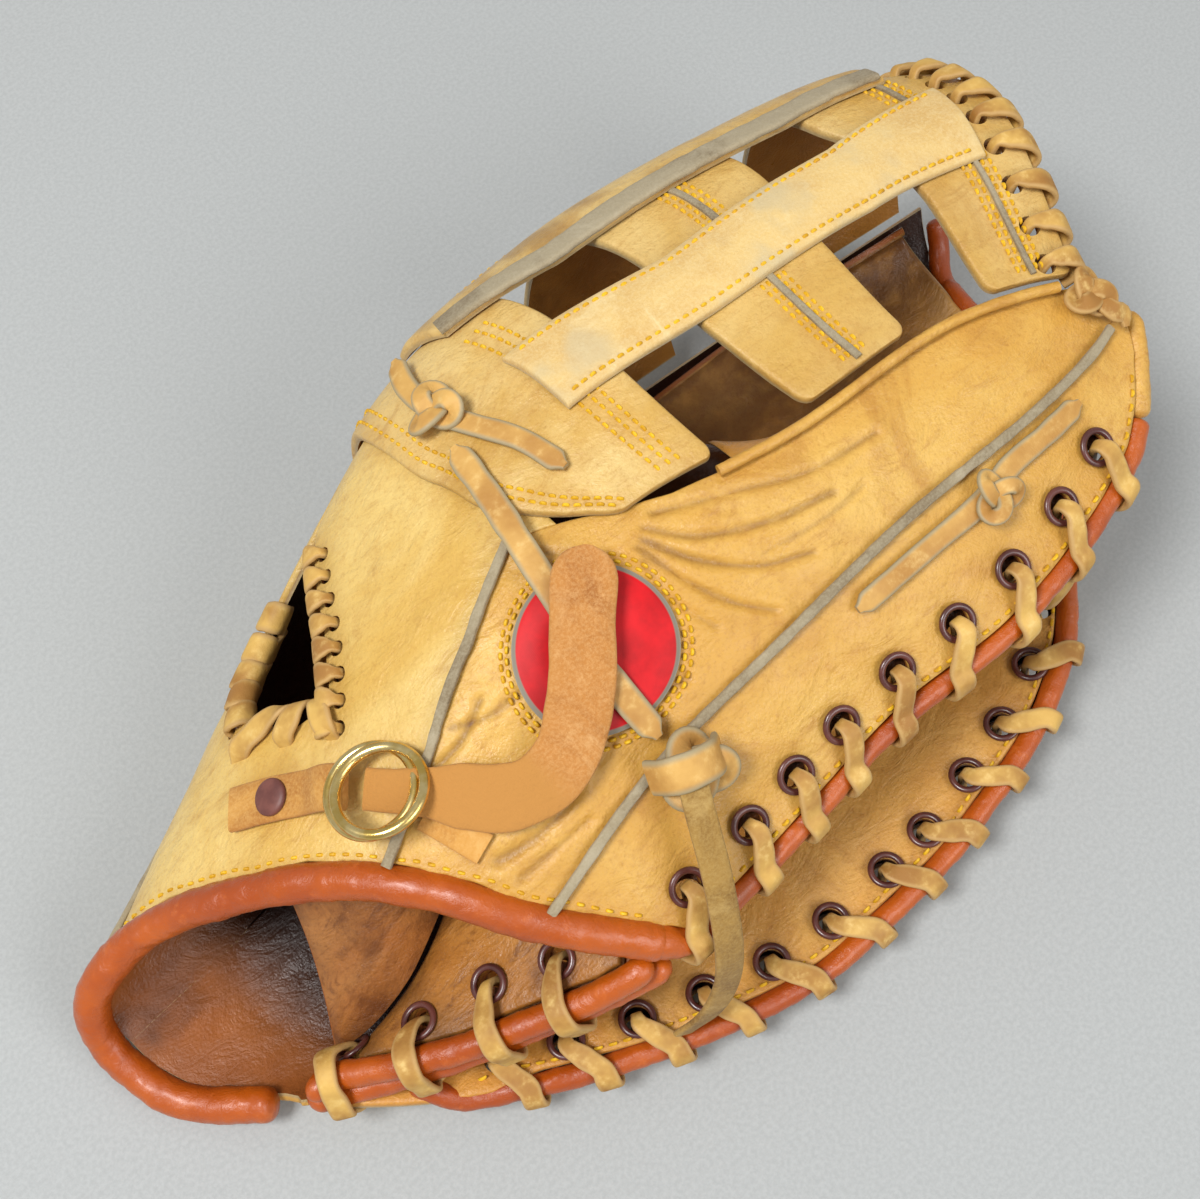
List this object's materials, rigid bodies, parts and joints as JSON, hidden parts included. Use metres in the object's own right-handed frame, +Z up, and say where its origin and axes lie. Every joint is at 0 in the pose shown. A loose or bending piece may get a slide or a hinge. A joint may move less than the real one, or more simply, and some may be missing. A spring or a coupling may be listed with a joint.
{
  "type": "first baseman mitt",
  "caption": "Folded tan leather first base mitt with a two-bar web, laced rims, a wrist strap and a round back patch.",
  "frame": {"origin": "centre of the bottom of the bounding box, on the surface that the mitt lies on", "axes": "+X from the wrist to the finger tips, +Y from the laced rims to the web, +Z up off the surface"},
  "size_m": [0.3066, 0.1736, 0.1009],
  "materials": {
    "tan_leather": "semi-matt, creased",
    "palm_leather": "worn, oiled",
    "binding_leather": "glossy",
    "rawhide_lace": "matt",
    "strap_suede": "rough",
    "raw_welt": "raw",
    "lining_leather": "polished by wear",
    "dark_eyelet": "glossy",
    "brass": "polished",
    "red_patch": "satin",
    "pale_suede": "napped"
  },
  "bodies": {
    "root": {"palm": "palm_leather", "finger_back_inner": "tan_leather", "finger_back_middle": "tan_leather", "finger_back_outer": "tan_leather", "thumb_back_inner": "tan_leather", "thumb_back_outer": "tan_leather", "welt_inner": "raw_welt", "welt_outer": "raw_welt", "welt_thumb": "raw_welt", "finger_gusset": "palm_leather", "wrist_binding": "binding_leather", "heel_binding_palm": "binding_leather", "heel_binding_lining": "binding_leather", "finger_edge_binding": "binding_leather", "thumb_edge_binding": "binding_leather", "web_edge_piping": "pale_suede", "heel_pad": "lining_leather", "stall_lining": "lining_leather", "finger_edge_lace": "rawhide_lace", "thumb_edge_lace": "rawhide_lace", "slit_lace_right": "rawhide_lace", "slit_lace_left": "rawhide_lace", "heel_lace": "rawhide_lace", "web_base": "tan_leather", "web_bar_middle": "tan_leather", "web_bar_tip": "tan_leather", "web_strap_near": "pale_suede", "web_strap_far": "pale_suede", "web_tip_lace": "rawhide_lace", "crotch_lace": "rawhide_lace", "tie_lace": "rawhide_lace", "tie_tail": "strap_suede", "finger_tie": "rawhide_lace", "round_patch": "red_patch", "wrist_strap": "strap_suede", "strap_tab": "strap_suede", "strap_keeper": "strap_suede", "rivet": "dark_eyelet", "ring_1": "brass", "ring_2": "brass", "finger_eyelet_1": "dark_eyelet", "finger_eyelet_2": "dark_eyelet", "finger_eyelet_3": "dark_eyelet", "finger_eyelet_4": "dark_eyelet", "finger_eyelet_5": "dark_eyelet", "finger_eyelet_6": "dark_eyelet", "finger_eyelet_7": "dark_eyelet", "finger_eyelet_8": "dark_eyelet", "finger_eyelet_9": "dark_eyelet", "thumb_eyelet_1": "dark_eyelet", "thumb_eyelet_2": "dark_eyelet", "thumb_eyelet_3": "dark_eyelet", "thumb_eyelet_4": "dark_eyelet", "thumb_eyelet_5": "dark_eyelet", "thumb_eyelet_6": "dark_eyelet", "thumb_eyelet_7": "dark_eyelet", "thumb_eyelet_8": "dark_eyelet", "thumb_eyelet_9": "dark_eyelet", "thumb_eyelet_10": "dark_eyelet"}
  },
  "joints": []
}
